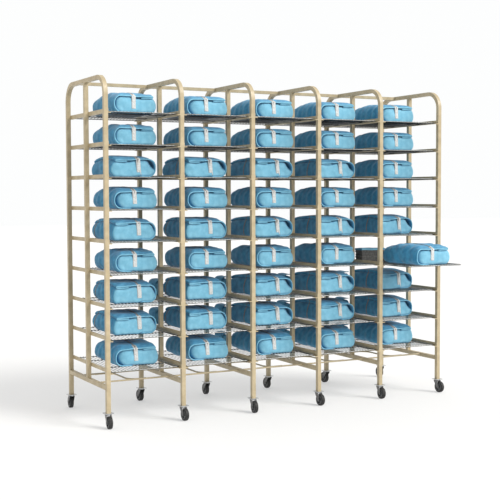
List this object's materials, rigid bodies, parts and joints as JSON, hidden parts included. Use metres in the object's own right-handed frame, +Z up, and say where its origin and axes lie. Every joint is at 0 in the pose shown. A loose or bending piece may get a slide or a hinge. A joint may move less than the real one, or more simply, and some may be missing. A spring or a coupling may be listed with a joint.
{
  "type": "linen trolley",
  "caption": "Long open trolley of bent square-tube hoops in bays, with sliding wire shelves on angle runners, wrapped linen packs, tie bars, curved lower braces and swivel casters.",
  "frame": {"origin": "on the floor under the middle of the frame: half way between the end hoops and half way between the front and rear uprights", "axes": "+X along the trolley towards the bay with the open shelf, -Y towards the loading side, +Z up"},
  "size_m": [2.455, 1.0099, 2.062],
  "materials": {
    "cream_paint": "satin powder coat",
    "bright_wire": "bright plated wire",
    "zinc_steel": "zinc plated",
    "black_tyre": "matte solid rubber",
    "blue_linen": "matte pleated wrap",
    "grey_cloth": "matte folded cloth"
  },
  "bodies": {
    "frame": {"hoop_frames": "cream_paint", "mid_posts": "cream_paint", "lower_rails": "cream_paint", "shelf_runners": "cream_paint", "top_ties": "cream_paint", "long_rods": "cream_paint", "curved_braces": "cream_paint", "rod_lock_screws": "zinc_steel", "caster_plates": "zinc_steel", "kingpins": "zinc_steel", "wire_shelves_bay_1": "bright_wire", "wire_shelves_bay_2": "bright_wire", "wire_shelves_bay_3": "bright_wire", "wire_shelves_bay_4": "bright_wire", "linen_packs_bays_1_4": "blue_linen", "linen_rolls_bays_1_4": "blue_linen"},
    "bay_5_shelf_1": {"wire_shelf_5_1": "bright_wire", "linen_pack_5_1": "blue_linen"},
    "bay_5_shelf_2": {"wire_shelf_5_2": "bright_wire", "linen_pack_5_2": "blue_linen"},
    "bay_5_shelf_3": {"wire_shelf_5_3": "bright_wire", "linen_pack_5_3": "blue_linen"},
    "bay_5_shelf_4": {"wire_shelf_5_4": "bright_wire", "linen_pack_5_4": "blue_linen"},
    "bay_5_shelf_5": {"wire_shelf_5_5": "bright_wire", "linen_pack_5_5": "blue_linen"},
    "bay_5_shelf_6": {"wire_shelf_5_6": "bright_wire", "linen_pack_5_6": "blue_linen", "small_bundle": "grey_cloth", "bundle_cover": "blue_linen"},
    "bay_5_shelf_7": {"wire_shelf_5_7": "bright_wire", "linen_pack_5_7": "blue_linen"},
    "bay_5_shelf_8": {"wire_shelf_5_8": "bright_wire", "linen_pack_5_8": "blue_linen"},
    "bay_5_shelf_9": {"wire_shelf_5_9": "bright_wire", "linen_pack_5_9": "blue_linen"},
    "caster_front_1": {"fork_front_1": "zinc_steel"},
    "caster_wheel_front_1": {"wheel_front_1": "black_tyre"},
    "caster_front_2": {"fork_front_2": "zinc_steel"},
    "caster_wheel_front_2": {"wheel_front_2": "black_tyre"},
    "caster_front_3": {"fork_front_3": "zinc_steel"},
    "caster_wheel_front_3": {"wheel_front_3": "black_tyre"},
    "caster_front_4": {"fork_front_4": "zinc_steel"},
    "caster_wheel_front_4": {"wheel_front_4": "black_tyre"},
    "caster_front_5": {"fork_front_5": "zinc_steel"},
    "caster_wheel_front_5": {"wheel_front_5": "black_tyre"},
    "caster_front_6": {"fork_front_6": "zinc_steel"},
    "caster_wheel_front_6": {"wheel_front_6": "black_tyre"},
    "caster_rear_1": {"fork_rear_1": "zinc_steel"},
    "caster_wheel_rear_1": {"wheel_rear_1": "black_tyre"},
    "caster_rear_2": {"fork_rear_2": "zinc_steel"},
    "caster_wheel_rear_2": {"wheel_rear_2": "black_tyre"},
    "caster_rear_3": {"fork_rear_3": "zinc_steel"},
    "caster_wheel_rear_3": {"wheel_rear_3": "black_tyre"},
    "caster_rear_4": {"fork_rear_4": "zinc_steel"},
    "caster_wheel_rear_4": {"wheel_rear_4": "black_tyre"},
    "caster_rear_5": {"fork_rear_5": "zinc_steel"},
    "caster_wheel_rear_5": {"wheel_rear_5": "black_tyre"},
    "caster_rear_6": {"fork_rear_6": "zinc_steel"},
    "caster_wheel_rear_6": {"wheel_rear_6": "black_tyre"}
  },
  "joints": [
    {"name": "bay_5_shelf_1_slide", "type": "slide", "parent": "frame", "child": "bay_5_shelf_1", "axis": [0, -1, 0], "range_m": [0, 0.35]},
    {"name": "bay_5_shelf_2_slide", "type": "slide", "parent": "frame", "child": "bay_5_shelf_2", "axis": [0, -1, 0], "range_m": [0, 0.35]},
    {"name": "bay_5_shelf_3_slide", "type": "slide", "parent": "frame", "child": "bay_5_shelf_3", "axis": [0, -1, 0], "range_m": [0, 0.35]},
    {"name": "bay_5_shelf_4_slide", "type": "slide", "parent": "frame", "child": "bay_5_shelf_4", "axis": [0, -1, 0], "range_m": [0, 0.35]},
    {"name": "bay_5_shelf_5_slide", "type": "slide", "parent": "frame", "child": "bay_5_shelf_5", "axis": [0, -1, 0], "range_m": [0, 0.35]},
    {"name": "bay_5_shelf_6_slide", "type": "slide", "parent": "frame", "child": "bay_5_shelf_6", "axis": [0, -1, 0], "range_m": [-0.295, 0.055]},
    {"name": "bay_5_shelf_7_slide", "type": "slide", "parent": "frame", "child": "bay_5_shelf_7", "axis": [0, -1, 0], "range_m": [0, 0.35]},
    {"name": "bay_5_shelf_8_slide", "type": "slide", "parent": "frame", "child": "bay_5_shelf_8", "axis": [0, -1, 0], "range_m": [0, 0.35]},
    {"name": "bay_5_shelf_9_slide", "type": "slide", "parent": "frame", "child": "bay_5_shelf_9", "axis": [0, -1, 0], "range_m": [0, 0.35]},
    {"name": "caster_front_1_swivel", "type": "hinge", "parent": "frame", "child": "caster_front_1", "pos_m": [-1.2, -0.335, 0.08], "axis": [0, 0, 1], "continuous": true},
    {"name": "caster_front_1_roll", "type": "hinge", "parent": "caster_front_1", "child": "caster_wheel_front_1", "pos_m": [-1.20115, -0.35697, 0.0375], "axis": [0.9986, -0.0523, 0], "continuous": true},
    {"name": "caster_front_2_swivel", "type": "hinge", "parent": "frame", "child": "caster_front_2", "pos_m": [-0.72, -0.335, 0.08], "axis": [0, 0, 1], "continuous": true},
    {"name": "caster_front_2_roll", "type": "hinge", "parent": "caster_front_2", "child": "caster_wheel_front_2", "pos_m": [-0.71923, -0.35699, 0.0375], "axis": [0.9994, 0.0349, 0], "continuous": true},
    {"name": "caster_front_3_swivel", "type": "hinge", "parent": "frame", "child": "caster_front_3", "pos_m": [-0.24, -0.335, 0.08], "axis": [0, 0, 1], "continuous": true},
    {"name": "caster_front_3_roll", "type": "hinge", "parent": "caster_front_3", "child": "caster_wheel_front_3", "pos_m": [-0.24192, -0.35692, 0.0375], "axis": [0.9962, -0.0872, 0], "continuous": true},
    {"name": "caster_front_4_swivel", "type": "hinge", "parent": "frame", "child": "caster_front_4", "pos_m": [0.24, -0.335, 0.08], "axis": [0, 0, 1], "continuous": true},
    {"name": "caster_front_4_roll", "type": "hinge", "parent": "caster_front_4", "child": "caster_wheel_front_4", "pos_m": [0.24115, -0.35697, 0.0375], "axis": [0.9986, 0.0523, 0], "continuous": true},
    {"name": "caster_front_5_swivel", "type": "hinge", "parent": "frame", "child": "caster_front_5", "pos_m": [0.72, -0.335, 0.08], "axis": [0, 0, 1], "continuous": true},
    {"name": "caster_front_5_roll", "type": "hinge", "parent": "caster_front_5", "child": "caster_wheel_front_5", "pos_m": [0.71923, -0.35699, 0.0375], "axis": [0.9994, -0.0349, 0], "continuous": true},
    {"name": "caster_front_6_swivel", "type": "hinge", "parent": "frame", "child": "caster_front_6", "pos_m": [1.2, -0.335, 0.08], "axis": [0, 0, 1], "continuous": true},
    {"name": "caster_front_6_roll", "type": "hinge", "parent": "caster_front_6", "child": "caster_wheel_front_6", "pos_m": [1.20192, -0.35692, 0.0375], "axis": [0.9962, 0.0872, 0], "continuous": true},
    {"name": "caster_rear_1_swivel", "type": "hinge", "parent": "frame", "child": "caster_rear_1", "pos_m": [-1.2, 0.335, 0.08], "axis": [0, 0, 1], "continuous": true},
    {"name": "caster_rear_1_roll", "type": "hinge", "parent": "caster_rear_1", "child": "caster_wheel_rear_1", "pos_m": [-1.19847, 0.35695, 0.0375], "axis": [-0.9976, 0.0698, 0], "continuous": true},
    {"name": "caster_rear_2_swivel", "type": "hinge", "parent": "frame", "child": "caster_rear_2", "pos_m": [-0.72, 0.335, 0.08], "axis": [0, 0, 1], "continuous": true},
    {"name": "caster_rear_2_roll", "type": "hinge", "parent": "caster_rear_2", "child": "caster_wheel_rear_2", "pos_m": [-0.72153, 0.35695, 0.0375], "axis": [-0.9976, -0.0698, 0], "continuous": true},
    {"name": "caster_rear_3_swivel", "type": "hinge", "parent": "frame", "child": "caster_rear_3", "pos_m": [-0.24, 0.335, 0.08], "axis": [0, 0, 1], "continuous": true},
    {"name": "caster_rear_3_roll", "type": "hinge", "parent": "caster_rear_3", "child": "caster_wheel_rear_3", "pos_m": [-0.23923, 0.35699, 0.0375], "axis": [-0.9994, 0.0349, 0], "continuous": true},
    {"name": "caster_rear_4_swivel", "type": "hinge", "parent": "frame", "child": "caster_rear_4", "pos_m": [0.24, 0.335, 0.08], "axis": [0, 0, 1], "continuous": true},
    {"name": "caster_rear_4_roll", "type": "hinge", "parent": "caster_rear_4", "child": "caster_wheel_rear_4", "pos_m": [0.23962, 0.357, 0.0375], "axis": [-0.9998, -0.0175, 0], "continuous": true},
    {"name": "caster_rear_5_swivel", "type": "hinge", "parent": "frame", "child": "caster_rear_5", "pos_m": [0.72, 0.335, 0.08], "axis": [0, 0, 1], "continuous": true},
    {"name": "caster_rear_5_roll", "type": "hinge", "parent": "caster_rear_5", "child": "caster_wheel_rear_5", "pos_m": [0.7177, 0.35688, 0.0375], "axis": [-0.9945, -0.1045, 0], "continuous": true},
    {"name": "caster_rear_6_swivel", "type": "hinge", "parent": "frame", "child": "caster_rear_6", "pos_m": [1.2, 0.335, 0.08], "axis": [0, 0, 1], "continuous": true},
    {"name": "caster_rear_6_roll", "type": "hinge", "parent": "caster_rear_6", "child": "caster_wheel_rear_6", "pos_m": [1.20115, 0.35697, 0.0375], "axis": [-0.9986, 0.0523, 0], "continuous": true}
  ]
}
